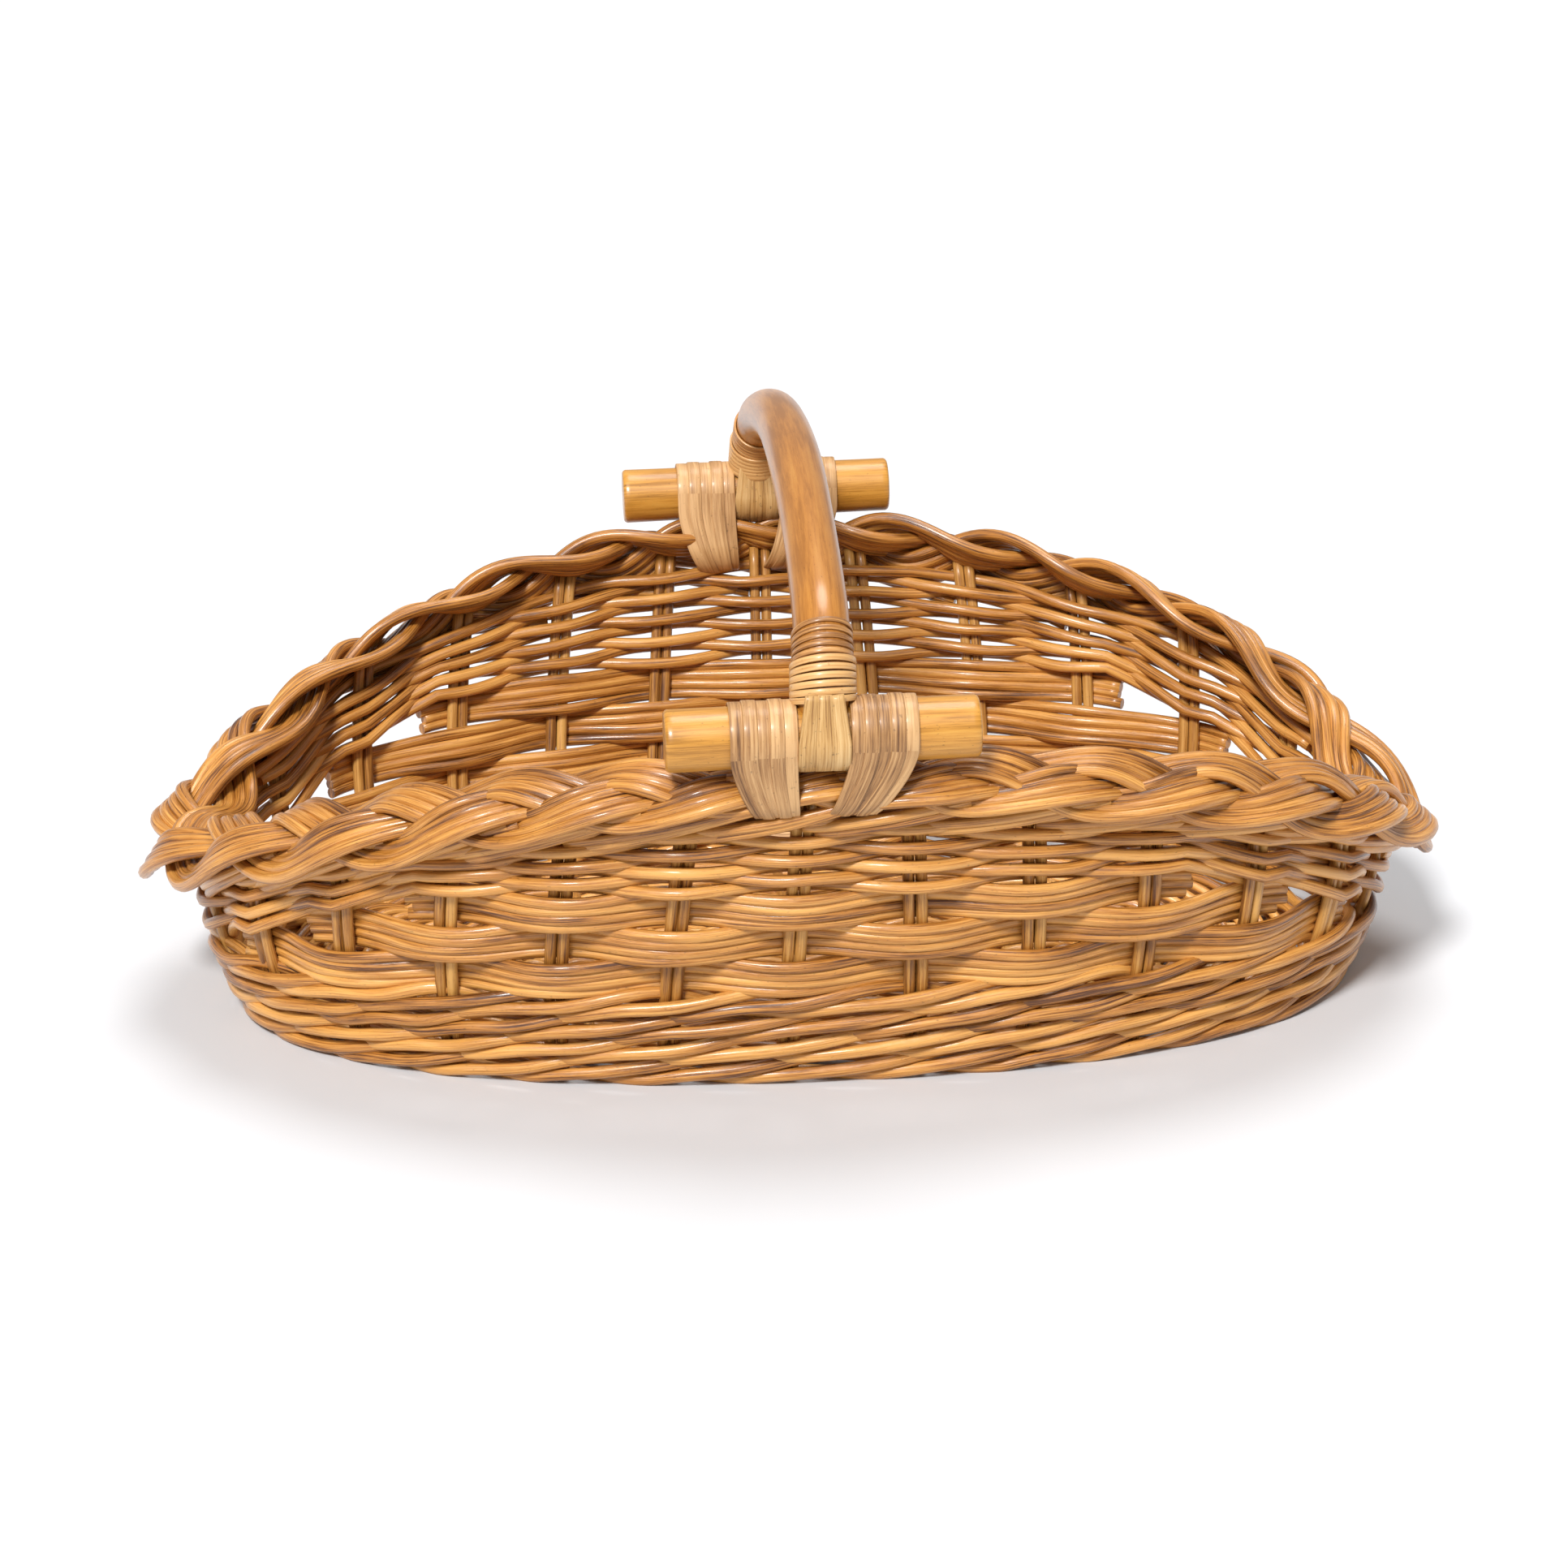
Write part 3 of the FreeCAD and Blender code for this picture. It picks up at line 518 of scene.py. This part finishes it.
def hoop_line(points=120):
    """The hoop's centre line, from the front bar over to the rear bar."""
    inset = BAR_OUT - HOOP_CORNER
    wide = (inset ** 2 + HOOP_RISE ** 2 - HOOP_CORNER ** 2) / (2 * (HOOP_RISE - HOOP_CORNER))
    meet = math.atan2(inset, wide - HOOP_RISE)
    start, end = math.asin(HOOP_START / HOOP_CORNER), math.pi / 2 - meet
    a = np.linspace(start, end, points // 3)
    shoulder = np.stack([np.zeros_like(a), inset + HOOP_CORNER * np.cos(a), HOOP_CORNER * np.sin(a)], -1)
    b = np.linspace(meet, -meet, points)[1:-1]
    crown = np.stack([np.zeros_like(b), wide * np.sin(b), HOOP_RISE - wide + wide * np.cos(b)], -1)
    rear = np.concatenate([shoulder, crown[: len(b) // 2 + 1]])
    front = rear[::-1] * (1, -1, 1)
    line = np.concatenate([front[::-1], rear[::-1][1:]])
    lean = math.radians(-HOOP_LEAN)
    x = line[:, 0] * math.cos(lean) + line[:, 2] * math.sin(lean)
    z = -line[:, 0] * math.sin(lean) + line[:, 2] * math.cos(lean)
    return np.stack([x + BAR_SHIFT, line[:, 1], z + BAR_HEIGHT], -1)


def make_bars():
    for label, side in (("front", -1), ("rear", 1)):
        tilt = math.tan(math.radians(BAR_TILT))
        x = np.concatenate([[-47.5, -47.1, -46.4], np.linspace(-45, 45, 40), [46.4, 47.1, 47.5]])
        radius = np.full(len(x), BAR_RADIUS)
        radius[[0, -1]] -= 0.9
        radius[[1, -2]] -= 0.35
        radius += 0.12 * np.sin(x * 0.09 + side)
        line = np.stack([x + BAR_SHIFT, np.full(len(x), side * BAR_OUT), BAR_HEIGHT + x * tilt], -1)
        bar = Strands()
        bar.add(line, 2 * radius, 2 * radius, (0, 0, 1), sides=40, tone=0.5)
        bar.build(f"Crossbar_{label.title()}", BAR, [f"crossbar_{label}"], "rattan_pole")


def make_handle():
    hoop = Strands()
    line = hoop_line()
    away = np.linalg.norm(np.diff(line, axis=0, prepend=line[:1]), axis=1).cumsum()
    radius = HOOP_RADIUS + 0.12 * np.sin(away * 0.06)
    out = line - np.array([BAR_SHIFT, 0, BAR_HEIGHT - 120.0])
    hoop.add(line, 2 * radius, 2 * radius, out, sides=36, tone=0.5)
    hoop.build("Handle_Hoop", POLE, ["handle_hoop"], "rattan_pole")
    for label, side in (("Front", -1), ("Rear", 1)):
        # the thinned end of the pole: down the outside of the leg, round the bar and up the inside
        tongue = Strands()
        fall, arc = np.linspace(15, 0.5, 8), np.linspace(0, math.pi, 26)
        reach = BAR_RADIUS + 1.2
        y = np.concatenate([lerp(reach, 8.8, fall / 15), reach * np.cos(arc),
                            -lerp(8.8, reach, 1 - fall[::-1] / 15)])
        z = np.concatenate([fall, -reach * np.sin(arc), fall[::-1]])
        n = len(y)
        out = np.stack([np.zeros(n), side * y, np.minimum(z, 0)], -1)
        for strip, (place, width) in enumerate(((-5.2, 5.6), (0.2, 6.0), (5.4, 5.4))):
            narrow = lerp(1.0, 0.72, np.clip(z / 15, 0, 1))
            line = np.stack([BAR_SHIFT + place * narrow, side * (BAR_OUT + y), BAR_HEIGHT + z], -1)
            tongue.add(line, width * narrow, 1.7, out, corner=0.35, tone=0.45 + 0.08 * strip)
        tongue.build(f"Handle_Tongue_{label}", TONGUE, [], "rattan_pole")


def make_leg_bindings():
    line = hoop_line(400)
    for label, side in (("front", -1), ("rear", 1)):
        leg = line[np.sign(line[:, 1]) == side]
        leg = leg[np.argsort(leg[:, 2])]
        binding = Strands()
        for first, last, grow, turns in ((9.0, 20.0, 1.25, 6), (20.0, 27.5, 0.5, 5)):
            n = 40 * turns
            z = np.linspace(BAR_HEIGHT + first, BAR_HEIGHT + last, n)
            y = np.interp(z, leg[:, 2], leg[:, 1])
            x = np.interp(z, leg[:, 2], leg[:, 0])
            y2 = np.interp(z + 0.5, leg[:, 2], leg[:, 1])
            axis = unit(np.stack([np.zeros(n), (y2 - y), np.full(n, 0.5)], -1))
            across = np.array([1.0, 0, 0])
            other = np.cross(axis, across)
            turn = np.linspace(0, 2 * math.pi * turns, n)
            radial = across * np.cos(turn)[:, None] + other * np.sin(turn)[:, None]
            radius = HOOP_RADIUS + grow
            width = (last - first) / turns * 1.12
            binding.add(np.stack([x, y, z], -1) + radial * radius, width, 0.9, radial, corner=0.45)
        binding.build(f"Leg_Binding_{label.title()}", WRAP, [f"leg_binding_{label}"], "rattan_peel")


def capsule(top, low, top_radius, low_radius, points=64):
    """Closed outline round two circles in the (y, z) plane, as points and outward directions."""
    gap = top - low
    length = np.hypot(*gap)
    lean = math.atan2(gap[0], gap[1])
    tilt = math.asin((top_radius - low_radius) / length)
    quarter = math.pi / 2 + tilt
    a = np.linspace(-quarter, quarter, points // 2)
    b = np.linspace(quarter, 2 * math.pi - quarter, points // 2)

    def ring(centre, radius, angle):
        d = np.stack([np.sin(angle + lean), np.cos(angle + lean)], -1)
        return centre + radius * d, d

    p1, d1 = ring(top, top_radius, a)
    p2, d2 = ring(low, low_radius, b)
    share = np.linspace(0, 1, 10)[1:-1, None]
    down = lerp(p1[-1], p2[0], share)
    up = lerp(p2[-1], p1[0], share)
    path = np.concatenate([p1, down, p2, up])
    out = np.concatenate([d1, np.repeat(d1[-1:], 8, 0), d2, np.repeat(d1[:1], 8, 0)])
    return path, out


def make_lashings():
    """Flat peel wound over a bar and under the border, side by side on the bar and drawn together below."""
    u = np.linspace(0, STAKES, 2000)
    rim, _ = border_centre(u)
    for bar, side in (("front", -1), ("rear", 1)):
        for end, shift, middle, squeeze in (("left", -1, -13.5, 0.62), ("right", 1, 9.5, 0.7)):
            strands = Strands()
            for strip in range(LASHING_STRIPS):
                place = (strip - 2) * STRIP_PITCH
                x = BAR_SHIFT + shift * LASHING_OFFSET + place
                near = np.argmin(np.abs(rim[:, 0] - x) + 1000 * (np.sign(rim[:, 1]) != side))
                top = np.array([side * BAR_OUT, BAR_HEIGHT + (x - BAR_SHIFT) * math.tan(math.radians(BAR_TILT))])
                raised = 0.35 * (strip % 2)
                low = rim[near, 1:] - (side * 1.0, 0)
                path, out = capsule(top, low, BAR_RADIUS + 0.9 + raised, 9.6 + raised)
                low_share = np.clip((top[1] - 3 - path[:, 1]) / 23.0, 0, 1) ** 1.6
                across = lerp(x, BAR_SHIFT + middle + place * squeeze, low_share)
                line = np.stack([across, path[:, 0], path[:, 1]], -1)
                radial = np.stack([np.zeros(len(out)), out[:, 0], out[:, 1]], -1)
                strands.add(line, 4.5 - 0.7 * low_share, 0.9, radial, closed=True, corner=0.4)
            strands.build(f"Lashing_{bar.title()}_{end.title()}", PEEL, [f"lashing_{bar}_{end}"], "rattan_peel")
        # two strips meant to pass from one lashing to the other below the border; np.interp is given the rim with
        # x falling instead of rising, so they come out misplaced, inside the basket
        near_side = rim[np.sign(rim[:, 1]) == side][::side]
        link = Strands()
        for strip in range(2):
            share = np.linspace(0, 1, 30)
            x = BAR_SHIFT + lerp(-16.0, 17.0, share)
            place = np.interp(x, near_side[:, 0], near_side[:, 1])
            level = np.interp(x, near_side[:, 0], near_side[:, 2])
            turn = np.radians(34 + 34 * np.sin(math.pi * share) ** 0.8 - 17 * strip)
            reach = 12.4 + 0.5 * strip
            out = np.stack([np.zeros(30), side * np.cos(turn), -np.sin(turn)], -1)
            line = np.stack([x, place, level], -1) + out * reach
            link.add(line, 3.8, 1.0, out, corner=0.4)
        link.build(f"Lashing_{bar.title()}_Link", PEEL, [], "rattan_peel")


for step in (make_wale, make_bands, make_rand, make_stakes, make_border, make_base, make_bars,
             make_handle, make_leg_bindings, make_lashings):
    step()

# ---------------------------------------------------------------- floor, light and camera

floor_mesh = bpy.data.meshes.new("Floor")
floor_mesh.from_pydata([(-6, -6, 0), (6, -6, 0), (6, 6, 0), (-6, 6, 0)], [], [(0, 1, 2, 3)])
floor = bpy.data.objects.new("Floor", floor_mesh)
bpy.context.scene.collection.objects.link(floor)
paper = bpy.data.materials.new("paper")
paper.use_nodes = True
paper_shader = paper.node_tree.nodes["Principled BSDF"]
paper_shader.inputs["Base Color"].default_value = (0.65, 0.655, 0.67, 1)
paper_shader.inputs["Roughness"].default_value = 1.0
paper_shader.inputs["Specular IOR Level"].default_value = 0.0
floor_mesh.materials.append(paper)

world = bpy.data.worlds.new("Studio")
world.use_nodes = True
world.node_tree.nodes["Background"].inputs["Color"].default_value = (1, 1, 1, 1)
world.node_tree.nodes["Background"].inputs["Strength"].default_value = 0.38
bpy.context.scene.world = world
bpy.context.scene.view_settings.view_transform = "Standard"


def sun_light(name, turn, rise, spread, strength, color=(1, 1, 1)):
    """A soft sun: turn and rise are measured like the camera's, and spread is its size in degrees."""
    data = bpy.data.lights.new(name, "SUN")
    data.angle = math.radians(spread)
    data.energy = strength
    data.color = color
    lamp = bpy.data.objects.new(name, data)
    turn, rise = math.radians(turn), math.radians(rise)
    back = Vector((math.sin(turn) * math.cos(rise), -math.cos(turn) * math.cos(rise), math.sin(rise)))
    lamp.rotation_mode = "QUATERNION"
    lamp.rotation_quaternion = (-back).to_track_quat("-Z", "Y")
    bpy.context.scene.collection.objects.link(lamp)


sun_light("Key", -22, 45, 12, 3.5)
sun_light("Top", 155, 76, 28, 1.5)

CAMERA_TURN, CAMERA_RISE, CAMERA_ROLL = math.radians(-4.6), math.radians(20.0), math.radians(-0.3)
target = Vector((-0.0034, 0.0, 0.0678))
back = Vector((math.sin(CAMERA_TURN) * math.cos(CAMERA_RISE),
               -math.cos(CAMERA_TURN) * math.cos(CAMERA_RISE), math.sin(CAMERA_RISE)))
right = (-back).cross(Vector((0, 0, 1))).normalized()
up = right.cross(-back)
right, up = (math.cos(CAMERA_ROLL) * right + math.sin(CAMERA_ROLL) * up,
             -math.sin(CAMERA_ROLL) * right + math.cos(CAMERA_ROLL) * up)
lens = bpy.data.cameras.new("Camera")
lens.sensor_width = 36.0
lens.lens = 97.3
lens.clip_start, lens.clip_end = 0.05, 50.0
camera = bpy.data.objects.new("Camera", lens)
camera.matrix_world = Matrix.Translation(target + back * 1.419) @ Matrix((right, up, back)).transposed().to_4x4()
bpy.context.scene.collection.objects.link(camera)
bpy.context.scene.camera = camera
